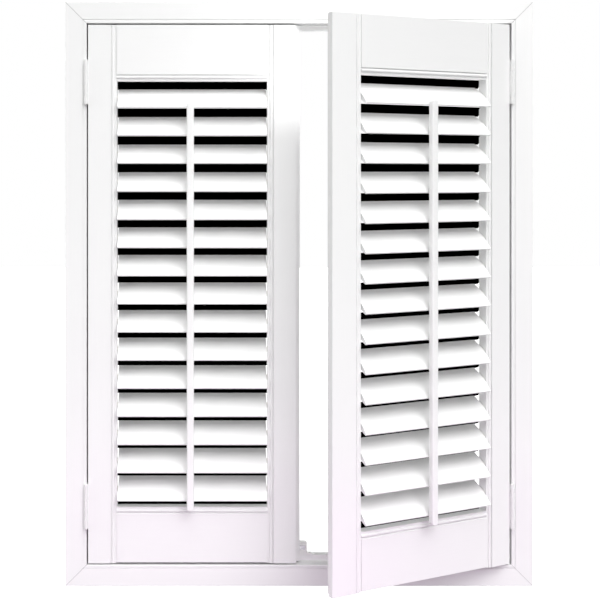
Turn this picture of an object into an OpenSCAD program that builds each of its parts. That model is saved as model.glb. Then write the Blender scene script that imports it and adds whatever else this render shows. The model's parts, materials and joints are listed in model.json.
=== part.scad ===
// Pair of louvred shutters hung in a mitred window frame.
// The left panel is shut and the right panel stands part open on its hinges.
// X runs across the frame, -Y faces the room and Z is up.
// The origin is the middle of the frame's bottom edge, on the plane of the wall.

/* [Frame] */
// Overall width of the frame
frame_width = 926; // [740:1:1400]
// Overall height of the frame
frame_height = 1157; // [900:1:1700]
// Width of the frame's face
frame_face = 42; // [36:0.5:60]
// Thickness of the flange that lies on the wall
flange_thickness = 14; // [11:0.5:20]
// Thickness of the leg that reaches into the wall opening
leg_thickness = 20; // [18:0.5:30]
// How far the light stops reach in from the leg
stop_reach = 11; // [8:0.5:20]
// Thickness of the light stops from front to back
stop_thickness = 16.5; // [15:0.5:30]
// Distance of the face groove from the frame's inner edge
groove_inset = 7.3; // [5:0.1:12]
// Width and depth of the face groove
groove_size = 1.2; // [0.8:0.1:2]
// Diameter of the fixing holes through the jambs
fixing_diameter = 5; // [3:0.1:6.5]
// Number of fixing holes in a jamb
fixing_count = 4; // [2:1:6]
// Distance of the end fixing holes from the frame's top and bottom
fixing_inset = 128.5; // [90:0.5:250]

/* [Corner keys] */
// Length of a corner key across its mitre
key_length = 14; // [10:0.5:18]
// Width of a corner key at its ends
key_end = 7; // [5:0.5:9]
// Width of a corner key at its waist
key_waist = 3.5; // [2:0.5:5]
// Depth of a corner key from the back of the frame
key_depth = 14; // [8:0.5:25]

/* [Panels] */
// How far the right panel stands open
right_open_angle = 28; // [0:0.5:170]
// Thickness of the stiles and rails
panel_thickness = 27; // [22:0.5:33]
// Width of a stile
stile_width = 57; // [50:0.5:70]
// Height of the top rail
top_rail_height = 111; // [70:1:160]
// Height of the bottom rail
bottom_rail_height = 109; // [70:1:160]
// How far the bottom rail ends above the stiles' feet
bottom_rail_lift = 2; // [0:0.5:5]
// Gap between a panel and the frame round it
panel_gap = 3; // [2:0.1:4]
// Gap between the panels' backs and the light stop
stop_gap = 2.5; // [2:0.1:4]
// Width of the rebate by which the meeting stiles lap
lap_width = 8; // [5:0.5:12]
// Gap between the meeting stiles
meeting_gap = 3; // [2:0.1:4]
// Length of a rail's tenon
tenon_length = 12; // [8:0.5:25]
// Thickness of a rail's tenon
tenon_thickness = 10; // [6:0.5:14]
// Height of the shoulder above and below a tenon
tenon_shoulder = 20; // [10:0.5:30]

/* [Beads] */
// Radius of the bead along each inner edge
bead_radius = 3.5; // [2:0.1:4.5]
// Width of the step between the bead and the opening
bead_land = 4; // [2:0.1:6]
// Width of the quirk beside the bead
quirk_width = 1.5; // [1:0.1:3]
// Depth of the quirk and the step below the face
bead_depth = 3; // [1.5:0.1:3.5]
// How far the top of the bead lies below the face
bead_sink = 0.1; // [0.1:0.1:1]

/* [Louvres] */
// Number of louvres in a panel
louvre_count = 15; // [3:1:15]
// Width of a louvre from nose to nose
louvre_width = 63.5; // [44:0.5:70]
// Thickness of a louvre at its middle
louvre_thickness = 11; // [9:0.5:14]
// Radius of a louvre's nose
nose_radius = 2; // [1.5:0.1:3]
// Distance of the end louvres' axes from the rails
louvre_margin = 34; // [30:0.5:60]
// Gap between a louvre's end and the stile
louvre_end_gap = 1.5; // [1.3:0.1:3]
// Tilt of the left panel's louvres, front edge down
left_tilt = 36; // [-68:1:68]
// Tilt of the right panel's louvres, front edge down
right_tilt = 38; // [-68:1:68]

/* [Louvre pins] */
// Diameter of a louvre pin
pin_diameter = 5; // [3:0.1:6]
// Length of a pin inside the stile
pin_in_stile = 14; // [8:0.5:30]
// Length of a pin beyond the stile
pin_in_louvre = 17; // [10:0.5:30]
// Diameter of a pin's collar
collar_diameter = 11; // [8:0.5:14]
// Thickness of a pin's collar
collar_thickness = 1; // [0.6:0.1:1.2]

/* [Tilt rods] */
// Width of a tilt rod
rod_width = 14; // [11:0.5:20]
// Depth of a tilt rod from front to back
rod_depth = 11; // [9:0.5:16]
// Radius of a rod's front edges
rod_edge_radius = 3; // [1:0.1:5]
// Radius of a rod's ends
rod_end_radius = 5; // [2:0.1:5.4]
// Distance of the left rod from the middle of its louvres, towards the hinges
left_rod_offset = 3.5; // [-60:0.5:60]
// Distance of the right rod from the middle of its louvres, towards the hinges
right_rod_offset = 0.5; // [-60:0.5:60]
// Length of a rod above its top staple
rod_above = 10.5; // [8:0.5:20]
// Length of a rod below its bottom staple
rod_below = 11.5; // [8:0.5:20]
// Distance between a rod's back and the axis of its staples
rod_standoff = 2; // [1.5:0.1:4]

/* [Staples] */
// Diameter of the staples' wire
wire_diameter = 1.5; // [1:0.1:2]
// Distance between the legs of a louvre's staple
staple_width = 8; // [6:0.5:14]
// Depth of the staples' legs in the wood
staple_bite = 7; // [4:0.5:8]
// Clearance between a rod's staple and a louvre's staple
hook_clearance = 0.35; // [0.3:0.05:0.5]
// Clearance between a rod's staple and a louvre's nose
nose_clearance = 0.6; // [0.3:0.05:2]

/* [Hinges] */
// Length of a hinge's barrel
hinge_length = 87; // [60:1:110]
// Length of the middle knuckle
middle_knuckle = 43; // [20:1:50]
// Distance of a hinge's middle from the panel's top or bottom
hinge_inset = 113.5; // [60:0.5:200]
// Diameter of the barrel
barrel_diameter = 7.8; // [6:0.1:8.2]
// Diameter of the hinge pin
hinge_pin_diameter = 4; // [3:0.1:5]
// Diameter of the hinge pin's heads
pin_head_diameter = 6.4; // [5.4:0.1:7.5]
// Thickness of the hinge pin's heads
pin_head_thickness = 1; // [0.6:0.1:3]
// Distance of the hinge axis in front of the frame's face
axis_stand = 4.5; // [4.4:0.1:8]
// Distance of the hinge axis outside the frame's inner edge
axis_outset = 0.7; // [0:0.1:1]
// Depth of a leaf from the hinge axis
leaf_reach = 20.5; // [19:0.5:28]
// Gap between the two leaves of a shut hinge
leaf_clearance = 0.4; // [0.3:0.05:0.8]
// Distance between neighbouring screws of a leaf
leaf_screw_spacing = 31; // [20:0.5:40]
// Distance of the leaves' screws behind the hinge axis
leaf_screw_back = 13.5; // [12:0.5:15]

/* [Screws] */
// Diameter of the screws' shanks
screw_diameter = 3; // [2:0.1:3.5]
// Diameter of the screws' heads
screw_head_diameter = 6; // [5:0.1:6.5]
// Length of the hinge screws
hinge_screw_length = 18; // [10:0.5:22]
// Length of the screws of the catch and its plates
catch_screw_length = 12; // [8:0.5:16]
// Length of the slot in a screw's head
slot_length = 4; // [3:0.1:4.5]
// Width and depth of the slot in a screw's head
slot_size = 0.6; // [0.4:0.1:0.8]

/* [Magnet catch] */
// Width of the catch's foot
foot_width = 56; // [50:0.5:70]
// Distance of the catch from the back of the light stop
catch_margin = 3.5; // [0:0.5:4]
// Thickness of the catch's foot
foot_thickness = 3; // [2:0.1:5]
// Width of the catch's body
catch_width = 36; // [32:0.5:38]
// Height of the catch's body above its foot
catch_height = 22; // [16:0.5:30]
// Height of the magnet's middle above the foot
magnet_height = 11; // [8:0.5:12]
// Width of the magnet and its pole plates
magnet_width = 28; // [20:0.5:29]
// Thickness of the magnet
magnet_thickness = 5; // [3:0.1:7]
// Depth of the magnet
magnet_depth = 8; // [5:0.5:9]
// Thickness of a pole plate
pole_thickness = 1.5; // [1:0.1:2]
// Gap between the pole plates and the strike plates
magnet_gap = 0.3; // [0.2:0.05:0.5]
// Width of a strike plate
strike_width = 16; // [12:0.5:20]
// Height of a strike plate
strike_height = 14; // [10:0.5:20]
// Thickness of a strike plate
strike_thickness = 1.2; // [1:0.1:1.6]
// Distance of a strike plate from the back edge of its stile
strike_inset = 2; // [1:0.5:4]

/* [Fits] */
// Radial clearance of a running pin
running_clearance = 0.05; // [0.03:0.01:0.1]
// Clearance round tenons, keys and the magnet
joint_clearance = 0.1; // [0.05:0.05:0.3]
// Extra depth of a blind hole beyond what sits in it
hole_relief = 0.3; // [0.2:0.1:1]
// Gap between neighbouring knuckles
knuckle_gap = 0.3; // [0.2:0.1:0.5]

/* [Hidden] */
$fn = 128;
over = 1;
paint = "white";
steel = "silver";
plated = "gainsboro";
nylon = "ivory";
magnet_grey = "dimgray";
SIDES = ["left", "right"];
ENDS = [-1, 1];

// Planes of the frame, from front to back
face_y = -flange_thickness;
panel_back_y = face_y + panel_thickness;
stop_y = panel_back_y + stop_gap;
frame_back_y = stop_y + stop_thickness;
frame_depth = frame_back_y - face_y;
middle_y = face_y + panel_thickness / 2;

// The frame's inner edges
jamb_x = frame_width / 2 - frame_face;
head_z = frame_height - frame_face;
stop_top_z = frame_face + stop_reach;
mitre_height = stop_top_z + over;
key_place = frame_face - leg_thickness / 2;
fixing_spacing = (frame_height - 2 * fixing_inset) / (fixing_count - 1);

// A panel, as the left one lies when it is shut
panel_left = -jamb_x + panel_gap;
panel_right = -(lap_width + meeting_gap) / 2;
panel_width = panel_right - panel_left;
panel_bottom = frame_face + panel_gap;
panel_top = head_z - panel_gap;
panel_height = panel_top - panel_bottom;
opening_left = panel_left + stile_width;
opening_right = panel_right - stile_width;
opening_width = opening_right - opening_left;
opening_middle = (opening_left + opening_right) / 2;
bottom_rail_z = panel_bottom + bottom_rail_lift;
opening_bottom = bottom_rail_z + bottom_rail_height;
opening_top = panel_top - top_rail_height;
lap_thickness = (panel_thickness - meeting_gap) / 2;
bead_middle = bead_land + bead_radius;
flat_edge = bead_land + 2 * bead_radius + quirk_width;

// Louvres: two wide arcs meet each nose on a common tangent
louvre_length = opening_width - 2 * louvre_end_gap;
louvre_pitch = (opening_top - opening_bottom - 2 * louvre_margin) / (louvre_count - 1);
nose_place = louvre_width / 2 - nose_radius;
half_thickness = louvre_thickness / 2;
louvre_arc = (nose_place ^ 2 + half_thickness ^ 2 - nose_radius ^ 2)
    / (2 * (half_thickness - nose_radius));
arc_end = nose_place * louvre_arc / (louvre_arc - nose_radius);
pin_radius = pin_diameter / 2;
bore_radius = pin_radius + running_clearance;

// Staples and rods
wire_radius = wire_diameter / 2;
wire_hole = wire_radius + running_clearance;
hook_half = wire_diameter + hook_clearance;
staple_reach = hook_half * sqrt(2) + wire_radius + nose_clearance;
staple_radius = louvre_width / 2 + staple_reach;

// Hinges
axis_x = -jamb_x - axis_outset;
axis_y = face_y - axis_stand;
leaf_thickness = (panel_gap - leaf_clearance) / 2;
barrel_radius = barrel_diameter / 2;
hinge_pin_radius = hinge_pin_diameter / 2;
end_knuckle = (hinge_length - middle_knuckle) / 2 - knuckle_gap / 2;
HINGE_ZS = [panel_bottom + hinge_inset, panel_top - hinge_inset];
LEAF_SCREWS = [-leaf_screw_spacing, 0, leaf_screw_spacing];

// Screws
screw_radius = screw_diameter / 2;
screw_hole = screw_radius + running_clearance;
head_radius = screw_head_diameter / 2;
head_height = leaf_thickness - running_clearance;

// Catch
foot_top_z = stop_top_z + foot_thickness;
magnet_z = foot_top_z + magnet_height;
catch_screw_x = (foot_width + catch_width) / 4;
catch_depth = stop_thickness - catch_margin;
catch_middle_y = stop_y + catch_depth / 2;
pole_y = panel_back_y + strike_thickness + magnet_gap;
stack_height = magnet_thickness + 2 * pole_thickness;

function tilt(side) = side == "left" ? left_tilt : right_tilt;
function rod_x(side) = opening_middle - (side == "left" ? left_rod_offset : right_rod_offset);
function louvre_z(i) = opening_top - louvre_margin - (i - 1) * louvre_pitch;
function staple_y(side) = middle_y - staple_radius * cos(tilt(side));
function staple_drop(side) = staple_radius * sin(tilt(side));
function louvre_name(side, i) = str(side, "_louvre_", i < 10 ? "0" : "", i);
// The middle of a strike plate, at the back edge of its stile; the left stile laps behind the right
function strike_x(side) =
    panel_right + (side == "left" ? lap_width : 0) - strike_inset - strike_width / 2;

FRAME_NODES = [
    "frame_head", "frame_sill", "frame_left_jamb", "frame_right_jamb", "frame_corner_keys",
    "head_stop", "sill_stop", "left_stop", "right_stop",
    "frame_hinge_leaves", "hinge_pins", "frame_screws", "catch_body", "catch_magnet"
];
PANEL_PARTS = [
    "hinge_stile", "meeting_stile", "top_rail", "bottom_rail", "louvre_pins",
    "hinge_leaves", "panel_screws", "strike_plate", "tilt_rod", "rod_staples"
];

// Puts a piece drawn for the shut left panel where the named panel stands
module on_panel(side) {
    if (side == "left")
        children();
    else
        translate([-axis_x, axis_y, 0]) rotate([0, 0, right_open_angle])
            mirror([1, 0, 0]) translate([-axis_x, -axis_y, 0]) children();
}

// Draws a piece of the left side and its mirror image
module on_both_sides() {
    children();
    mirror([1, 0, 0]) children();
}

// A countersunk wood screw whose head lies flush at z = 0 and whose tip points down
module screw(length) {
    difference() {
        union() {
            translate([0, 0, -length]) cylinder(r = screw_radius, h = length);
            translate([0, 0, -head_height])
                cylinder(r1 = screw_radius, r2 = head_radius, h = head_height);
        }
        for (turn = [0, 90]) rotate([0, 0, turn])
            cube([slot_length, slot_size, 2 * slot_size], center = true);
    }
}

module screw_bore(length) {
    translate([0, 0, -length - hole_relief]) cylinder(r = screw_hole, h = length + 2 * hole_relief);
}

module countersink() {
    translate([0, 0, -head_height])
        cylinder(r1 = screw_hole, r2 = head_radius + running_clearance, h = head_height);
    translate([0, 0, -over / 1000])
        cylinder(r = head_radius + running_clearance, h = over);
}

// ---- Frame ----

// Section of a frame member: depth from the face, then distance from the outer edge
module member_section() {
    difference() {
        union() {
            square([flange_thickness, frame_face]);
            translate([0, frame_face - leg_thickness]) square([frame_depth, leg_thickness]);
        }
        translate([0, frame_face - groove_inset]) square(groove_size * [2, 1], center = true);
    }
}

// Section of a light stop, in the same place as on its member
module stop_section() {
    translate([stop_y - face_y, frame_face]) square([stop_thickness, stop_reach]);
}

// Runs a section along X with its outer edge down and its ends cut to 45 degrees
module mitred(length) {
    half = length / 2;
    intersection() {
        rotate([90, 0, 90]) linear_extrude(height = length, center = true) children();
        translate([0, frame_depth + over, 0]) rotate([90, 0, 0])
            linear_extrude(height = frame_depth + 2 * over) polygon([
                [-half, 0], [half, 0], [half - mitre_height, mitre_height],
                [mitre_height - half, mitre_height]
            ]);
    }
}

module key_outline(grow) {
    half = key_length / 2 + grow;
    end = key_end / 2 + grow;
    waist = key_waist / 2 + grow;
    polygon([[-half, -end], [0, -waist], [half, -end], [half, end], [0, waist], [-half, end]]);
}

// The dovetail keys of the four corners, or the pockets they lie in
module corner_keys(grow = 0) {
    for (x = ENDS, z = ENDS)
        translate([
            x * (frame_width / 2 - key_place), frame_back_y + grow,
            frame_height / 2 + z * (frame_height / 2 - key_place)
        ])
            rotate([90, x * z * 45, 0]) linear_extrude(height = key_depth + 2 * grow) key_outline(grow);
}

module on_sill() {
    translate([0, face_y, 0]) children();
}

module on_head() {
    translate([0, 0, frame_height]) mirror([0, 0, 1]) on_sill() children();
}

module on_left_jamb() {
    translate([-frame_width / 2, face_y, frame_height / 2]) rotate([0, 90, 0]) children();
}

// Places its children at each screw of the left frame leaves, with the head facing in
module at_frame_leaf_screws() {
    for (z = HINGE_ZS, step = LEAF_SCREWS)
        translate([-jamb_x + leaf_thickness, axis_y + leaf_screw_back, z + step])
            rotate([0, 90, 0]) children();
}

module at_catch_screws() {
    for (side = ENDS) translate([side * catch_screw_x, catch_middle_y, foot_top_z]) children();
}

module fixing_bores() {
    for (i = [0:fixing_count - 1])
        translate([-frame_width / 2, stop_y + stop_thickness / 2, fixing_inset + i * fixing_spacing])
            rotate([0, 90, 0]) cylinder(d = fixing_diameter, h = stop_top_z + over);
}

module frame_sill() {
    color(paint) difference() {
        on_sill() mitred(frame_width) member_section();
        corner_keys(joint_clearance);
        at_catch_screws() screw_bore(catch_screw_length);
    }
}

module frame_head() {
    color(paint) difference() {
        on_head() mitred(frame_width) member_section();
        corner_keys(joint_clearance);
    }
}

module left_jamb() {
    difference() {
        on_left_jamb() mitred(frame_height) member_section();
        corner_keys(joint_clearance);
        at_frame_leaf_screws() screw_bore(hinge_screw_length);
        fixing_bores();
    }
}

module frame_left_jamb() {
    color(paint) left_jamb();
}

module frame_right_jamb() {
    color(paint) mirror([1, 0, 0]) left_jamb();
}

module sill_stop() {
    color(paint) difference() {
        on_sill() mitred(frame_width) stop_section();
        at_catch_screws() screw_bore(catch_screw_length);
    }
}

module head_stop() {
    color(paint) on_head() mitred(frame_width) stop_section();
}

module left_stop() {
    color(paint) difference() {
        on_left_jamb() mitred(frame_height) stop_section();
        fixing_bores();
    }
}

module right_stop() {
    mirror([1, 0, 0]) left_stop();
}

module frame_corner_keys() {
    color(nylon) corner_keys();
}

// ---- Hinges ----

module barrel_piece(from, length, radius = barrel_radius) {
    translate([0, 0, from]) cylinder(r = radius, h = length);
}

// A leaf that starts this far beside the hinge axis, with its screw heads on the facing side.
// Its knuckles and the gaps for the other leaf's knuckles are [from, length] pairs.
module leaf(start, facing, knuckles, gaps) {
    head_x = facing > 0 ? start + leaf_thickness : start;
    difference() {
        union() {
            translate([start, 0, 0]) cube([leaf_thickness, leaf_reach, hinge_length]);
            for (k = knuckles) barrel_piece(k[0], k[1]);
        }
        barrel_piece(-over, hinge_length + 2 * over, hinge_pin_radius + running_clearance);
        for (g = gaps) barrel_piece(g[0], g[1], barrel_radius + leaf_clearance);
        for (step = LEAF_SCREWS)
            translate([head_x, leaf_screw_back, hinge_length / 2 + step])
                rotate([0, facing * 90, 0]) {
                    screw_bore(leaf_thickness);
                    countersink();
                }
    }
}

module frame_leaf() {
    far_end = hinge_length - end_knuckle;
    leaf(
        axis_outset, 1,
        [[0, end_knuckle], [far_end, end_knuckle]],
        [[end_knuckle, hinge_length - 2 * end_knuckle]]
    );
}

module panel_leaf() {
    knuckle_start = end_knuckle + knuckle_gap;
    knuckle_length = hinge_length - 2 * knuckle_start;
    leaf(
        axis_outset + leaf_thickness + leaf_clearance, -1,
        [[knuckle_start, knuckle_length]],
        [[-over, knuckle_start + over], [knuckle_start + knuckle_length, knuckle_start + over]]
    );
}

module at_left_hinges() {
    for (z = HINGE_ZS) translate([axis_x, axis_y, z - hinge_length / 2]) children();
}

module frame_hinge_leaves() {
    color(plated) on_both_sides() at_left_hinges() frame_leaf();
}

module hinge_leaves(side) {
    color(plated) on_panel(side) at_left_hinges() panel_leaf();
}

module hinge_pins() {
    color(plated) on_both_sides() at_left_hinges() {
        barrel_piece(0, hinge_length, hinge_pin_radius);
        for (z = [-pin_head_thickness, hinge_length])
            barrel_piece(z, pin_head_thickness, pin_head_diameter / 2);
    }
}

module frame_screws() {
    color(plated) {
        on_both_sides() at_frame_leaf_screws() screw(hinge_screw_length);
        at_catch_screws() screw(catch_screw_length);
    }
}

// ---- Magnet catch ----

module catch_body() {
    pocket_width = magnet_width + 2 * joint_clearance;
    pocket_height = stack_height + 2 * joint_clearance;
    pocket_depth = pole_y + magnet_depth + joint_clearance - stop_y;
    color("whitesmoke") difference() {
        union() {
            translate([-foot_width / 2, stop_y, stop_top_z])
                cube([foot_width, catch_depth, foot_thickness]);
            translate([-catch_width / 2, stop_y, stop_top_z])
                cube([catch_width, catch_depth, foot_thickness + catch_height]);
        }
        translate([-pocket_width / 2, stop_y - over, magnet_z - pocket_height / 2])
            cube([pocket_width, pocket_depth + over, pocket_height]);
        at_catch_screws() {
            screw_bore(foot_thickness + over);
            countersink();
        }
    }
}

module catch_magnet() {
    half = magnet_thickness / 2;
    color(steel) for (z = [-half - pole_thickness, half])
        translate([-magnet_width / 2, pole_y, magnet_z + z])
            cube([magnet_width, magnet_depth, pole_thickness]);
    color(magnet_grey) translate([-magnet_width / 2, stop_y, magnet_z - half])
        cube([magnet_width, pole_y + magnet_depth - stop_y, magnet_thickness]);
}

// A screw hole at the middle of the named side's strike plate, with the head facing back
module at_strike(side) {
    translate([strike_x(side), panel_back_y + strike_thickness, magnet_z])
        rotate([-90, 0, 0]) children();
}

module strike_plate(side) {
    color(steel) on_panel(side) difference() {
        translate([strike_x(side) - strike_width / 2, panel_back_y, magnet_z - strike_height / 2])
            cube([strike_width, strike_thickness, strike_height]);
        at_strike(side) {
            screw_bore(strike_thickness);
            countersink();
        }
    }
}

// ---- Panels ----

// Section of a stile or rail: distance from the opening's edge, then depth from the face
module beaded_section(width) {
    translate([flat_edge, 0]) square([width - flat_edge, panel_thickness]);
    translate([0, bead_depth]) square([width, panel_thickness - 2 * bead_depth]);
    for (y = [bead_radius + bead_sink, panel_thickness - bead_radius - bead_sink])
        translate([bead_middle, y]) circle(r = bead_radius);
}

// The tenon beyond the left end of a rail whose lower edge is at z, or its mortise
module tenon(z, height, grow = 0) {
    translate([
        opening_left - tenon_length - grow, middle_y - tenon_thickness / 2 - grow,
        z + tenon_shoulder - grow
    ])
        cube([
            tenon_length + over + grow, tenon_thickness + 2 * grow,
            height - 2 * tenon_shoulder + 2 * grow
        ]);
}

module mirror_in_panel() {
    children();
    translate([2 * opening_middle, 0, 0]) mirror([1, 0, 0]) children();
}

module mortises() {
    mirror_in_panel() {
        tenon(opening_top, top_rail_height, joint_clearance);
        tenon(bottom_rail_z, bottom_rail_height, joint_clearance);
    }
}

module louvre_pin_bores() {
    for (i = [1:louvre_count])
        translate([opening_middle, middle_y, louvre_z(i)]) rotate([0, 90, 0])
            cylinder(
                r = bore_radius,
                h = opening_width + 2 * (pin_in_stile + hole_relief),
                center = true
            );
}

// Stands at the left of the opening, its beaded edge towards the louvres
module stile_blank() {
    translate([opening_left, face_y, panel_bottom]) mirror([1, 0, 0])
        linear_extrude(height = panel_height) beaded_section(stile_width);
}

module at_panel_leaf_screws() {
    for (z = HINGE_ZS, step = LEAF_SCREWS)
        translate([panel_left - leaf_thickness, axis_y + leaf_screw_back, z + step])
            rotate([0, -90, 0]) children();
}

module hinge_stile(side) {
    color(paint) on_panel(side) difference() {
        stile_blank();
        mortises();
        louvre_pin_bores();
        at_panel_leaf_screws() screw_bore(hinge_screw_length);
    }
}

module meeting_stile(side) {
    lap_y = side == "left" ? panel_back_y - lap_thickness : face_y;
    color(paint) on_panel(side) difference() {
        union() {
            translate([2 * opening_middle, 0, 0]) mirror([1, 0, 0]) stile_blank();
            translate([panel_right - over, lap_y, panel_bottom])
                cube([lap_width + over, lap_thickness, panel_height]);
        }
        mortises();
        louvre_pin_bores();
        at_strike(side) screw_bore(catch_screw_length);
    }
}

// Lies from the left stile to the right one with its beaded edge up
module rail(z, height) {
    translate([opening_left, face_y, z + height]) rotate([90, 0, 90])
        linear_extrude(height = opening_width) rotate([0, 0, -90]) beaded_section(height);
    mirror_in_panel() tenon(z, height);
}

module bottom_rail(side) {
    color(paint) on_panel(side) rail(bottom_rail_z, bottom_rail_height);
}

module top_rail(side) {
    color(paint) on_panel(side)
        translate([0, 0, opening_top + panel_top]) mirror([0, 0, 1]) rail(opening_top, top_rail_height);
}

module panel_screws(side) {
    color(plated) on_panel(side) {
        at_panel_leaf_screws() screw(hinge_screw_length);
        at_strike(side) screw(catch_screw_length);
    }
}

// ---- Louvres ----

module louvre_pins(side) {
    color(nylon) on_panel(side) mirror_in_panel() for (i = [1:louvre_count])
        translate([opening_left, middle_y, louvre_z(i)]) rotate([0, 90, 0]) {
            cylinder(r = pin_radius, h = pin_in_louvre);
            translate([0, 0, -pin_in_stile]) cylinder(r = pin_radius, h = pin_in_stile);
            cylinder(d = collar_diameter, h = collar_thickness);
        }
}

module louvre_section() {
    intersection() {
        wide_arc(1);
        wide_arc(-1);
        square([2 * arc_end, louvre_thickness + over], center = true);
    }
    for (side = ENDS) translate([side * nose_place, 0]) circle(r = nose_radius);
}

module wide_arc(side) {
    translate([0, side * (half_thickness - louvre_arc)]) circle(r = louvre_arc);
}

module wire(length) {
    cylinder(r = wire_radius, h = length);
}

// A staple with its crown's middle at the origin and its legs towards +Z, spread along X
module staple(half_width, leg_length) {
    for (side = ENDS) translate([side * half_width, 0, 0]) {
        wire(leg_length);
        sphere(r = wire_radius);
    }
    translate([-half_width, 0, 0]) rotate([0, 90, 0]) wire(2 * half_width);
}

// The blade lies level, its front nose towards -Y
module blade(side) {
    difference() {
        translate([opening_middle, 0, 0]) rotate([90, 0, 90])
            linear_extrude(height = louvre_length, center = true) louvre_section();
        mirror_in_panel() translate([opening_left, 0, 0]) rotate([0, 90, 0])
            cylinder(r = bore_radius, h = pin_in_louvre + hole_relief);
        for (leg = ENDS)
            translate([rod_x(side) + leg * staple_width / 2, -louvre_width / 2 - over, 0])
                rotate([-90, 0, 0]) cylinder(r = wire_hole, h = staple_bite + hole_relief + over);
    }
}

module louvre(side, i) {
    on_panel(side) translate([0, middle_y, louvre_z(i)]) rotate([tilt(side), 0, 0]) {
        color(paint) blade(side);
        color(steel) translate([rod_x(side), -staple_radius, 0]) rotate([-90, 0, 0])
            staple(staple_width / 2, staple_reach + staple_bite);
    }
}

// ---- Tilt rods ----

// Section of a rod: X across, front edges rounded towards -Y, back at y = 0
module rod_section() {
    shoulder = rod_width / 2 - rod_edge_radius;
    translate([-rod_width / 2, rod_edge_radius - rod_depth])
        square([rod_width, rod_depth - rod_edge_radius]);
    translate([-shoulder, -rod_depth]) square([2 * shoulder, rod_depth]);
    for (side = ENDS) translate([side * shoulder, rod_edge_radius - rod_depth]) circle(r = rod_edge_radius);
}

module rod_outline(height) {
    shoulder = rod_width / 2 - rod_end_radius;
    translate([-shoulder, 0]) square([2 * shoulder, height]);
    translate([-rod_width / 2, rod_end_radius]) square([rod_width, height - 2 * rod_end_radius]);
    for (x = ENDS, z = [rod_end_radius, height - rod_end_radius]) translate([x * shoulder, z])
        circle(r = rod_end_radius);
}

module at_rod_staples(side) {
    for (i = [1:louvre_count])
        translate([rod_x(side), staple_y(side), louvre_z(i) - staple_drop(side)]) children();
}

module tilt_rod(side) {
    foot = louvre_z(louvre_count) - staple_drop(side) - rod_below;
    length = (louvre_count - 1) * louvre_pitch + rod_above + rod_below;
    color(paint) on_panel(side) difference() {
        translate([rod_x(side), staple_y(side) - rod_standoff, foot]) intersection() {
            linear_extrude(height = length) rod_section();
            rotate([90, 0, 0]) translate([0, 0, -over])
                linear_extrude(height = rod_depth + 2 * over) rod_outline(length);
        }
        at_rod_staples(side) for (z = ENDS)
            translate([0, over - rod_standoff, z * hook_half]) rotate([90, 0, 0])
                cylinder(r = wire_hole, h = staple_bite + hole_relief + over);
    }
}

module rod_staples(side) {
    color(steel) on_panel(side) at_rod_staples(side)
        translate([0, hook_half, 0]) rotate([90, 90, 0])
            staple(hook_half, hook_half + rod_standoff + staple_bite);
}

// ---- Assembly ----

frame_head();
frame_sill();
frame_left_jamb();
frame_right_jamb();
frame_corner_keys();
head_stop();
sill_stop();
left_stop();
right_stop();
frame_hinge_leaves();
hinge_pins();
frame_screws();
catch_body();
catch_magnet();
for (side = SIDES) {
    hinge_stile(side);
    meeting_stile(side);
    top_rail(side);
    bottom_rail(side);
    louvre_pins(side);
    hinge_leaves(side);
    panel_screws(side);
    strike_plate(side);
    tilt_rod(side);
    rod_staples(side);
    for (i = [1:louvre_count])
        louvre(side, i);
}
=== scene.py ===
"""A pair of painted louvred shutters in their mitred window frame: finishes, stage, light and camera."""
import json
import math

import bpy
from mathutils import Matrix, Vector


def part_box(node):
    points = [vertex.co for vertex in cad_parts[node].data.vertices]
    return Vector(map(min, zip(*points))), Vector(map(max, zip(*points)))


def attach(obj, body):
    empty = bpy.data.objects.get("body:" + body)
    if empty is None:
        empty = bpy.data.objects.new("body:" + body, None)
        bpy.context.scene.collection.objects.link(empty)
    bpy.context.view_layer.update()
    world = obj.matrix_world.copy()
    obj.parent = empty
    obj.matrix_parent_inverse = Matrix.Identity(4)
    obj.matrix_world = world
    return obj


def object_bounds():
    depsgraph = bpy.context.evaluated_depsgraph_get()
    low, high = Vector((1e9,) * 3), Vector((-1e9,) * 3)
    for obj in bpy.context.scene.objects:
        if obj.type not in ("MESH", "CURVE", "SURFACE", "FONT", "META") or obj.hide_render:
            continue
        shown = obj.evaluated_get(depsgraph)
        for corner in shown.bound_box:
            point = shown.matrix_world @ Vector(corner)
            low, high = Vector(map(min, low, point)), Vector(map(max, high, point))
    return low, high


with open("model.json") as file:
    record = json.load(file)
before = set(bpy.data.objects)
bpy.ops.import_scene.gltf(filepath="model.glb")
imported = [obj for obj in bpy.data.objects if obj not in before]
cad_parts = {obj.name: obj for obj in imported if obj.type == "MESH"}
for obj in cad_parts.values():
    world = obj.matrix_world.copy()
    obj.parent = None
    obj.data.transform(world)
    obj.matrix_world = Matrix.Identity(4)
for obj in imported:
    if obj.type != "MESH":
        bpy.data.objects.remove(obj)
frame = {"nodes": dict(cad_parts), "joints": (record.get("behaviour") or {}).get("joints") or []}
cad_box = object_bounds()

nodes = frame["nodes"]
joints = {joint["name"]: joint for joint in frame["joints"]}

MM = 0.001
SIDES = ("left", "right")
LOUVRES = 15
WHITE = (1, 1, 1)


# ---------------------------------------------------------------- places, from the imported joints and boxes

def tilt(side, number):
    """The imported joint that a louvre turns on."""
    return joints[f"{side}_louvre_{number:02d}_tilt"]


def opening(side):
    """How far a panel stands open, which is the turn of its louvres' axes about Z."""
    along = tilt(side, 1)["axis"]
    return math.atan2(along[1], along[0])


def louvre_depth(side):
    """Where a panel's louvre axes lie across it, in coordinates turned with the panel."""
    x, y, _ = tilt(side, 1)["pos_m"]
    return y * math.cos(TURN[side]) - x * math.sin(TURN[side])


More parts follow.
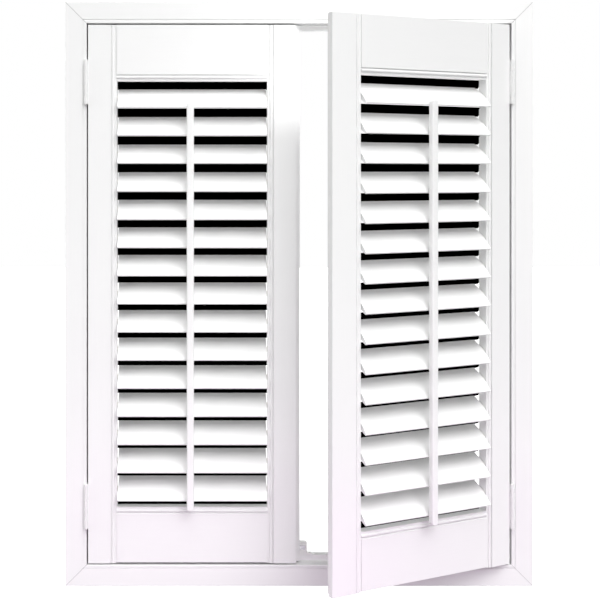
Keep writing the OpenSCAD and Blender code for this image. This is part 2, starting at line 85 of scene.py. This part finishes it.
TURN = {side: opening(side) for side in SIDES}
LOUVRE_AXIS_Y = {side: louvre_depth(side) for side in SIDES}
TOP_LOUVRE_Z = tilt("left", 1)["pos_m"][2]
LOUVRE_PITCH = TOP_LOUVRE_Z - tilt("left", 2)["pos_m"][2]
FRAME_WIDTH = cad_box[1][0] - cad_box[0][0]
FRAME_HEIGHT = cad_box[1][2] - cad_box[0][2]


def swing(point):
    """A point of the shut left panel's mirror image, carried to where the right panel stands open."""
    hinge_x, hinge_y, _ = joints["right_panel_swing"]["pos_m"]
    hinge = Vector((hinge_x, hinge_y, 0))
    arm = Vector((-point.x, point.y, point.z)) - hinge
    cosine = math.cos(TURN["right"])
    sine = math.sin(TURN["right"])
    return hinge + Vector((arm.x * cosine - arm.y * sine, arm.x * sine + arm.y * cosine, arm.z))


# ---------------------------------------------------------------- node trees

MIX_INPUTS = (0, 6, 7)
MIX_OUTPUT = 2


class Shader:
    """A material's node tree with its Principled shader, and short names for the nodes used here."""

    def __init__(self, name):
        self.material = bpy.data.materials.new(name)
        self.material.use_nodes = True
        self.tree = self.material.node_tree
        self.shader = self.tree.nodes["Principled BSDF"]

    def node(self, kind, **values):
        made = self.tree.nodes.new(kind)
        for key, value in values.items():
            setattr(made, key, value)
        return made

    def feed(self, socket, value):
        if isinstance(value, bpy.types.NodeSocket):
            self.tree.links.new(value, socket)
        else:
            socket.default_value = value

    def place(self, scale=(1, 1, 1), turn=0.0):
        """The piece's own coordinates in metres, turned about Z and then stretched."""
        coordinates = self.node("ShaderNodeTexCoord")
        turned = self.node("ShaderNodeMapping")
        self.feed(turned.inputs["Vector"], coordinates.outputs["Object"])
        turned.inputs["Rotation"].default_value = (0, 0, -turn)
        stretched = self.node("ShaderNodeMapping")
        self.feed(stretched.inputs["Vector"], turned.outputs["Vector"])
        stretched.inputs["Scale"].default_value = scale
        return stretched.outputs["Vector"]

    def split(self, vector):
        """The X, Y and Z of a vector."""
        made = self.node("ShaderNodeSeparateXYZ")
        self.feed(made.inputs["Vector"], vector)
        return made.outputs["X"], made.outputs["Y"], made.outputs["Z"]

    def noise(self, vector, scale, detail=2.0, roughness=0.5):
        made = self.node("ShaderNodeTexNoise")
        self.feed(made.inputs["Vector"], vector)
        made.inputs["Scale"].default_value = scale
        made.inputs["Detail"].default_value = detail
        made.inputs["Roughness"].default_value = roughness
        return made.outputs["Fac"]

    def calculate(self, operation, *values):
        made = self.node("ShaderNodeMath", operation=operation)
        for socket, value in zip(made.inputs, values):
            self.feed(socket, value)
        return made.outputs["Value"]

    def weigh(self, a, share, b):
        """A share of one value with the rest of another."""
        return self.calculate("ADD", self.calculate("MULTIPLY", a, share),
                              self.calculate("MULTIPLY", b, 1 - share))

    def remap(self, value, given, wanted):
        """A value moved from one range, a pair of ends, to another."""
        made = self.node("ShaderNodeMapRange")
        for socket, end in zip(made.inputs, (value, *given, *wanted)):
            self.feed(socket, end)
        return made.outputs["Result"]

    def blend(self, share, a, b):
        """Two colours mixed. A mix node's colour sockets share their names, so they go by number."""
        made = self.node("ShaderNodeMix", data_type="RGBA")
        for number, value in zip(MIX_INPUTS, (share, a, b)):
            self.feed(made.inputs[number], value)
        return made.outputs[MIX_OUTPUT]

    def mottle(self, value, given, light, shade):
        """A colour that goes from light to shade as the value crosses its range."""
        return self.blend(self.remap(value, given, (0.0, 1.0)), light, shade)

    def bump(self, height, distance, strength, onto=None):
        made = self.node("ShaderNodeBump")
        made.inputs["Strength"].default_value = strength
        made.inputs["Distance"].default_value = distance
        self.feed(made.inputs["Height"], height)
        if onto is not None:
            self.feed(made.inputs["Normal"], onto)
        return made.outputs["Normal"]

    def set(self, **values):
        """Sets or links the shader's inputs, and gives the material."""
        for name, value in values.items():
            self.feed(self.shader.inputs[name.replace("_", " ")], value)
        return self.material


# ---------------------------------------------------------------- finishes
# Noise scales are in features per metre. A range is the part of a noise's 0 to 1 that is used.

WIDE_RANGE = (0.3, 0.7)
CLOUD_RANGE = (0.35, 0.65)
RUBBED_RANGE = (0.45, 0.75)

GRAIN_SCALES = {"x": (14, 620, 620), "z": (620, 620, 14)}
GRAIN_DEPTH = 0.08 * MM
LACQUER_PEEL_SCALE = 420.0
LACQUER_PEEL_DEPTH = 0.05 * MM
LACQUER_BUMP = 0.7
DRIFT_SCALE = 5.0
DRIFT_SHARE_OF_TONE = 0.6
FLECK_SCALE = 90.0
FLECK_SHARE_OF_GLOSS = 0.5
LACQUER_LIGHT = (0.81, 0.812, 0.808, 1)
LACQUER_SHADE = (0.785, 0.787, 0.785, 1)
LACQUER_ROUGHNESS = (0.30, 0.42)

# The mitre line is painted shadow: a grey line in the colour along the frame's diagonal joints.
MITRE_DARK = 0.3 * MM
MITRE_CLEAR = 0.9 * MM
MITRE_SHADOW_GREY = (0.45, 0.45, 0.45, 1)

ENAMEL_PEEL_SCALE = 700.0
ENAMEL_PEEL_DEPTH = 0.04 * MM
ENAMEL_BUMP = 0.6
RUBBED_SCALE = 45.0
ENAMEL_LIGHT = (0.77, 0.772, 0.768, 1)
HINGE_SHADE = (0.71, 0.71, 0.705, 1)
SCREW_SHADE = (0.72, 0.72, 0.715, 1)
ENAMEL_ROUGHNESS = (0.22, 0.36)

STAPLE_CLEARS = 31.9 * MM
WIRE_CLOUD_SCALE = 400.0
WIRE_LIGHT = (0.82, 0.81, 0.79, 1)
WIRE_SHADE = (0.70, 0.69, 0.67, 1)
WIRE_SMOOTHER = -0.08

DRAWN_LINES = (900, 900, 60)
METAL_CLOUD_SCALE = 160.0
METAL_DEPTH = 0.02 * MM
METAL_BUMP = 0.5
METAL_ROUGHNESS = (0.25, 0.42)
STRIKE_LIGHT = (0.72, 0.72, 0.72, 1)
STRIKE_SHADE = (0.60, 0.60, 0.61, 1)
POLE_LIGHT = (0.42, 0.42, 0.43, 1)
POLE_SHADE = (0.28, 0.28, 0.30, 1)

GRIT_SCALE = 900.0
GRIT_DEPTH = 0.03 * MM
GRIT_BUMP = 0.6
PLASTIC_CLOUD_SCALE = 60.0
PLASTIC_ROUGHNESS = (0.4, 0.55)
NYLON_LIGHT = (0.80, 0.79, 0.74, 1)
NYLON_SHADE = (0.76, 0.75, 0.70, 1)
CATCH_LIGHT = (0.88, 0.88, 0.87, 1)
CATCH_SHADE = (0.84, 0.84, 0.83, 1)


def lacquer(s, grain, turn=0.0):
    """Sprayed satin lacquer over timber, as its colour, roughness and normal.

    It has orange peel, a little of the grain showing through, and a slow drift of tone.
    """
    lines = s.noise(s.place(GRAIN_SCALES[grain], turn), 1.0, detail=4.0, roughness=0.6)
    peel = s.noise(s.place(), LACQUER_PEEL_SCALE)
    drift = s.noise(s.place(), DRIFT_SCALE, detail=3.0)
    fleck = s.noise(s.place(), FLECK_SCALE)
    tone = s.weigh(drift, DRIFT_SHARE_OF_TONE, lines)
    colour = s.mottle(tone, WIDE_RANGE, LACQUER_LIGHT, LACQUER_SHADE)
    gloss = s.remap(s.weigh(fleck, FLECK_SHARE_OF_GLOSS, drift), WIDE_RANGE, LACQUER_ROUGHNESS)
    normal = s.bump(lines, GRAIN_DEPTH, LACQUER_BUMP)
    normal = s.bump(peel, LACQUER_PEEL_DEPTH, LACQUER_BUMP, onto=normal)
    return colour, gloss, normal


def paint(name, grain, turn):
    """The lacquer of a stile, a rail or a rod, with its grain along x or z."""
    s = Shader(name)
    colour, gloss, normal = lacquer(s, grain, turn)
    return s.set(Base_Color=colour, Roughness=gloss, Normal=normal)


def mitre_shadow_mask(s):
    """White along the four diagonal joints of the frame, where a painted shadow line goes, and black
    elsewhere.
    """
    x, _, z = s.split(s.place())
    from_side = s.calculate("SUBTRACT", FRAME_WIDTH / 2, s.calculate("ABSOLUTE", x))
    from_end = s.calculate("MINIMUM", z, s.calculate("SUBTRACT", FRAME_HEIGHT, z))
    apart = s.calculate("ABSOLUTE", s.calculate("SUBTRACT", from_side, from_end))
    return s.remap(apart, (MITRE_DARK, MITRE_CLEAR), (1.0, 0.0))


def frame_finish(name, grain):
    """The lacquer of a frame member or a stop, with a fine painted shadow line where it meets its neighbour.
    """
    s = Shader(name)
    colour, gloss, normal = lacquer(s, grain)
    # The grey blended in along the mitres is painted shadow, not a colour of the lacquer.
    return s.set(Base_Color=s.blend(mitre_shadow_mask(s), colour, MITRE_SHADOW_GREY), Roughness=gloss, Normal=normal)


def enamel(name, shade):
    """White powder coat on steel, glossier and smoother than the lacquer, and greyer where it is rubbed."""
    s = Shader(name)
    peel = s.noise(s.place(), ENAMEL_PEEL_SCALE)
    rubbed = s.noise(s.place(), RUBBED_SCALE, detail=5.0, roughness=0.7)
    return s.set(Base_Color=s.mottle(rubbed, RUBBED_RANGE, ENAMEL_LIGHT, shade),
                 Roughness=s.remap(rubbed, WIDE_RANGE, ENAMEL_ROUGHNESS),
                 Normal=s.bump(peel, ENAMEL_PEEL_DEPTH, ENAMEL_BUMP))


def staple_mask(s, side):
    """White on a louvre's wire staple, which stands clear of the blade's nose, and black on the blade."""
    _, across, up = s.split(s.place(turn=TURN[side]))
    y = s.calculate("SUBTRACT", across, LOUVRE_AXIS_Y[side])
    steps = s.calculate("DIVIDE", s.calculate("SUBTRACT", up, TOP_LOUVRE_Z), LOUVRE_PITCH)
    part_step = s.calculate("SUBTRACT", steps, s.calculate("ROUND", steps))
    z = s.calculate("MULTIPLY", part_step, LOUVRE_PITCH)
    squares = s.calculate("ADD", s.calculate("MULTIPLY", y, y), s.calculate("MULTIPLY", z, z))
    return s.calculate("GREATER_THAN", s.calculate("SQRT", squares), STAPLE_CLEARS)


def louvre_finish(side):
    """The lacquer of a louvre, with the bright wire of its staple."""
    s = Shader(side + "_louvre_paint")
    colour, gloss, normal = lacquer(s, "x", TURN[side])
    wire = staple_mask(s, side)
    cloud = s.noise(s.place(), WIRE_CLOUD_SCALE, detail=3.0)
    bright = s.mottle(cloud, CLOUD_RANGE, WIRE_LIGHT, WIRE_SHADE)
    return s.set(Base_Color=s.blend(wire, colour, bright), Metallic=wire,
                 Roughness=s.calculate("MULTIPLY_ADD", wire, WIRE_SMOOTHER, gloss), Normal=normal)


def metal(name, light, shade):
    """Plated metal: fine drawn lines and cloudy plating."""
    s = Shader(name)
    lines = s.noise(s.place(DRAWN_LINES), 1.0, detail=3.0)
    cloud = s.noise(s.place(), METAL_CLOUD_SCALE, detail=3.0)
    return s.set(Base_Color=s.mottle(cloud, CLOUD_RANGE, light, shade), Metallic=1.0,
                 Roughness=s.remap(lines, WIDE_RANGE, METAL_ROUGHNESS),
                 Normal=s.bump(lines, METAL_DEPTH, METAL_BUMP))


def plastic(name, light, shade):
    """Moulded plastic with a fine spark-eroded texture."""
    s = Shader(name)
    grit = s.noise(s.place(), GRIT_SCALE, detail=3.0)
    cloud = s.noise(s.place(), PLASTIC_CLOUD_SCALE)
    return s.set(Base_Color=s.mottle(cloud, CLOUD_RANGE, light, shade),
                 Roughness=s.remap(grit, WIDE_RANGE, PLASTIC_ROUGHNESS),
                 Normal=s.bump(grit, GRIT_DEPTH, GRIT_BUMP))


# ---------------------------------------------------------------- what wears which finish

FRAME_ACROSS = ("frame_head", "frame_sill", "head_stop", "sill_stop")
FRAME_UPRIGHT = ("frame_left_jamb", "frame_right_jamb", "left_stop", "right_stop")


def dress(names, material):
    for name in names:
        nodes[name].data.materials.clear()
        nodes[name].data.materials.append(material)


def dress_frame(hinge_enamel, screw_enamel, nylon):
    dress(FRAME_ACROSS, frame_finish("frame_paint_rails", "x"))
    dress(FRAME_UPRIGHT, frame_finish("frame_paint_jambs", "z"))
    dress(["frame_hinge_leaves", "hinge_pins"], hinge_enamel)
    dress(["frame_screws"], screw_enamel)
    dress(["frame_corner_keys"], nylon)
    dress(["catch_body"], plastic("catch_plastic", CATCH_LIGHT, CATCH_SHADE))
    dress(["catch_magnet"], metal("pole_steel", POLE_LIGHT, POLE_SHADE))


def dress_panel(side, hinge_enamel, screw_enamel, nylon, wire, strike_steel):
    along_z = paint(side + "_stile_paint", "z", TURN[side])
    dress([side + "_hinge_stile", side + "_meeting_stile", side + "_tilt_rod"], along_z)
    dress([side + "_top_rail", side + "_bottom_rail"], paint(side + "_rail_paint", "x", TURN[side]))
    dress([f"{side}_louvre_{i:02d}" for i in range(1, LOUVRES + 1)], louvre_finish(side))
    dress([side + "_louvre_pins"], nylon)
    dress([side + "_hinge_leaves"], hinge_enamel)
    dress([side + "_panel_screws"], screw_enamel)
    dress([side + "_strike_plate"], strike_steel)
    dress([side + "_rod_staples"], wire)


def dress_all():
    hinge_enamel = enamel("hinge_enamel", HINGE_SHADE)
    screw_enamel = enamel("screw_enamel", SCREW_SHADE)
    nylon = plastic("pin_nylon", NYLON_LIGHT, NYLON_SHADE)
    wire = metal("staple_wire", WIRE_LIGHT, WIRE_SHADE)
    strike_steel = metal("strike_steel", STRIKE_LIGHT, STRIKE_SHADE)
    dress_frame(hinge_enamel, screw_enamel, nylon)
    for side in SIDES:
        dress_panel(side, hinge_enamel, screw_enamel, nylon, wire, strike_steel)


# ---------------------------------------------------------------- eased edges

FRAME_EASE = 0.8 * MM
PANEL_EASE = 0.5 * MM
SMALL_EASE = 0.4 * MM
EASE_ANGLE = math.radians(35)
EASE_SEGMENTS = 2
WELD_DISTANCE = 0.002 * MM
NORMAL_WEIGHT = 80


def ease(names, width):
    """Rounds the sharp edges of CAD nodes by modifiers, inwards only."""
    for name in names:
        modifiers = nodes[name].modifiers
        weld = modifiers.new("weld", "WELD")
        weld.merge_threshold = WELD_DISTANCE
        bevel = modifiers.new("ease", "BEVEL")
        bevel.width = width
        bevel.segments = EASE_SEGMENTS
        bevel.limit_method = "ANGLE"
        bevel.angle_limit = EASE_ANGLE
        bevel.use_clamp_overlap = True
        normals = modifiers.new("normals", "WEIGHTED_NORMAL")
        normals.keep_sharp = False
        normals.weight = NORMAL_WEIGHT


def ease_all():
    ease(FRAME_ACROSS + FRAME_UPRIGHT, FRAME_EASE)
    ease(["catch_body"], SMALL_EASE)
    for side in SIDES:
        ease([side + "_hinge_stile", side + "_meeting_stile"], PANEL_EASE)
        ease([side + "_top_rail", side + "_bottom_rail"], PANEL_EASE)
        ease([side + "_tilt_rod"], SMALL_EASE)


# ---------------------------------------------------------------- stage

FLOOR_HALF = 8.0
FLOOR_Z = -0.5 * MM
FLOOR_LEVEL = 0.9
FLOOR_GLOW = 0.8
STAGE_ROUGHNESS = 0.9

# Cards that put painted shade in the louvre gaps: a black sheet where there would only be shade.
CARD_LEVEL = 1.0
CARD_GLOW = 1.0
CARD_HEAD_Y = 5.5 * MM
CARD_LAP = 2.5 * MM
CARD_THICKNESS = 0.5 * MM
CARD_BELOW_RAIL = 6 * MM
CARD_BEHIND_HINGE_STILE = 10.2 * MM
CARD_BEHIND_MEETING_STILE = 1.8 * MM
UNSEEN_BY = ("diffuse", "glossy", "transmission", "volume_scatter", "shadow")


def add_stage(name, materials, faces):
    """A stage piece of flat faces, each given as its material's number and its corners."""
    points = []
    loops = []
    for _, corners in faces:
        loops.append(tuple(range(len(points), len(points) + len(corners))))
        points.extend(corners)
    mesh = bpy.data.meshes.new(name)
    mesh.from_pydata(points, [], loops)
    for material in materials:
        mesh.materials.append(material)
    for polygon, (number, _) in zip(mesh.polygons, faces):
        polygon.material_index = number
    obj = bpy.data.objects.new(name, mesh)
    bpy.context.scene.collection.objects.link(obj)
    return obj


def glowing_white(name, level, glow):
    return Shader(name).set(Base_Color=(level, level, level, 1), Roughness=STAGE_ROUGHNESS,
                            Emission_Color=(*WHITE, 1), Emission_Strength=glow)


def matt_black(name):
    return Shader(name).set(Base_Color=(0, 0, 0, 1), Roughness=1.0, Specular_IOR_Level=0.0)


def lay_floor():
    """A pale floor that runs into the white backdrop, and doesn't light the object from below."""
    signs = ((-1, -1), (1, -1), (1, 1), (-1, 1))
    corners = [(x * FLOOR_HALF, y * FLOOR_HALF, FLOOR_Z) for x, y in signs]
    floor = add_stage("floor", [glowing_white("floor_white", FLOOR_LEVEL, FLOOR_GLOW)], [(0, corners)])
    floor.visible_diffuse = False


def card_faces(left, right, foot, head):
    """The faces of a card that leans from its foot up and forward to its head: front, then back."""
    front = [(left, *foot), (right, *foot), (right, *head), (left, *head)]
    back = [(x, y + CARD_THICKNESS, z + CARD_THICKNESS) for x, y, z in reversed(front)]
    return [(0, front), (1, back)]


def left_card_faces():
    """The cards in the gaps of the left panel.

    Each leans from the back edge of a louvre, or of the bottom rail, to the louvre or rail above it.
    """
    louvres = [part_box(f"left_louvre_{i:02d}") for i in range(1, LOUVRES + 1)]
    top_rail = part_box("left_top_rail")
    bottom_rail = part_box("left_bottom_rail")
    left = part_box("left_hinge_stile")[1].x - CARD_BEHIND_HINGE_STILE
    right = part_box("left_meeting_stile")[0].x + CARD_BEHIND_MEETING_STILE
    heads = [(top_rail[1].y - CARD_LAP, top_rail[0].z + CARD_LAP)]
    heads += [(CARD_HEAD_Y, low.z + CARD_LAP) for low, _ in louvres]
    feet = [(high.y, high.z - CARD_THICKNESS) for _, high in louvres]
    feet += [(bottom_rail[1].y - CARD_THICKNESS, bottom_rail[1].z - CARD_BELOW_RAIL)]
    faces = []
    for foot, head in zip(feet, heads):
        faces += card_faces(left, right, foot, head)
    return faces


def set_gap_shade_cards():
    """Cards in the gaps between the louvres, painted shade that makes the gaps dark: black in front, white
    behind.
    """
    # The black front of each card is painted shade. Only the camera sees the cards.
    materials = (matt_black("painted_gap_shade"), glowing_white("card_white", CARD_LEVEL, CARD_GLOW))
    left_faces = left_card_faces()
    right_faces = [(number, [swing(Vector(corner)) for corner in reversed(corners)])
                   for number, corners in left_faces]
    for side, faces in zip(SIDES, (left_faces, right_faces)):
        cards = add_stage(side + "_gap_shade_cards", materials, faces)
        for ray in UNSEEN_BY:
            setattr(cards, "visible_" + ray, False)
        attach(cards, side + "_panel")


# ---------------------------------------------------------------- light

WORLD_LIGHT = 0.10
BACKDROP = 1.0
LILAC = (1.0, 0.05, 1.0)


def light_world():
    """A studio that is white where the camera looks straight at it, and dim as a source of light."""
    world = bpy.data.worlds.new("studio")
    bpy.context.scene.world = world
    world.use_nodes = True
    tree = world.node_tree
    tree.nodes.clear()
    output = tree.nodes.new("ShaderNodeOutputWorld")
    mix = tree.nodes.new("ShaderNodeMixShader")
    path = tree.nodes.new("ShaderNodeLightPath")
    tree.links.new(path.outputs["Is Camera Ray"], mix.inputs[0])
    for number, strength in ((1, WORLD_LIGHT), (2, BACKDROP)):
        background = tree.nodes.new("ShaderNodeBackground")
        background.inputs["Color"].default_value = (*WHITE, 1)
        background.inputs["Strength"].default_value = strength
        tree.links.new(background.outputs["Background"], mix.inputs[number])
    tree.links.new(mix.outputs["Shader"], output.inputs["Surface"])


def add_light(name, kind, energy, turn, colour=WHITE):
    data = bpy.data.lights.new(name, kind)
    data.energy = energy
    data.color = colour
    light = bpy.data.objects.new(name, data)
    bpy.context.scene.collection.objects.link(light)
    light.rotation_mode = "QUATERNION"
    light.rotation_quaternion = turn
    return light


def distant_light(name, azimuth, elevation, strength, spread):
    """A softbox too far off to fade across the shutters. Azimuth 0 is the room's side, and 90 the right."""
    a = math.radians(azimuth)
    e = math.radians(elevation)
    towards = Vector((math.sin(a) * math.cos(e), -math.cos(a) * math.cos(e), math.sin(e)))
    light = add_light(name, "SUN", strength * math.pi, towards.to_track_quat("Z", "Y"))
    light.data.angle = math.radians(spread)
    return light


def soft_light(name, place, aim, size, power, colour=WHITE):
    """A near rectangular softbox, in metres and watts, that isn't seen itself."""
    turn = (Vector(aim) - Vector(place)).to_track_quat("-Z", "Y")
    light = add_light(name, "AREA", power, turn, colour)
    light.location = place
    light.visible_camera = False
    light.data.shape = "RECTANGLE"
    light.data.size, light.data.size_y = size


def light_shutters():
    """Key and fills from the room, one light from behind, and small ones for the middle gap and the foot."""
    distant_light("key", azimuth=25, elevation=54, strength=1.11, spread=62)
    distant_light("front_fill", azimuth=24, elevation=14, strength=0.24, spread=50)
    distant_light("left_fill", azimuth=-70, elevation=14, strength=0.46, spread=60)
    back_light = distant_light("back_light", azimuth=180, elevation=20, strength=0.6, spread=10)
    back_light.visible_glossy = False
    soft_light("top_fill", place=(0.5, -1.3, 1.7), aim=(0.1, 0, 1.0), size=(1.0, 0.5), power=2.6)
    soft_light("gap_strip", place=(-0.04, -0.62, 0.56), aim=(0, 0, 0.56), size=(0.12, 1.15), power=0.32)
    soft_light("gap_top", place=(0.02, -0.12, 0.97), aim=(0.02, 0, 1.11), size=(0.08, 0.08), power=0.14)
    soft_light("low_fill", place=(0, -0.5, 0.04), aim=(0, 0, 0.06), size=(1.4, 0.1), power=0.4,
               colour=LILAC)


# ---------------------------------------------------------------- camera

EYE = (-0.186, -2.418, 0.820)
LEVEL = (math.radians(90), 0, 0)
SENSOR_WIDTH = 36
FOCAL_LENGTH = 72.8
SHIFT_X = 0.158
SHIFT_Y = -0.213


def set_camera():
    """The photo's viewpoint: level, square to the frame, and shifted to the photo's framing."""
    data = bpy.data.cameras.new("camera")
    data.sensor_width = SENSOR_WIDTH
    data.lens = FOCAL_LENGTH
    data.shift_x = SHIFT_X
    data.shift_y = SHIFT_Y
    camera = bpy.data.objects.new("camera", data)
    camera.location = EYE
    camera.rotation_euler = LEVEL
    scene = bpy.context.scene
    scene.collection.objects.link(camera)
    scene.camera = camera
    scene.view_settings.view_transform = "Standard"
    scene.view_settings.look = "None"


dress_all()
ease_all()
lay_floor()
set_gap_shade_cards()
light_world()
light_shutters()
set_camera()
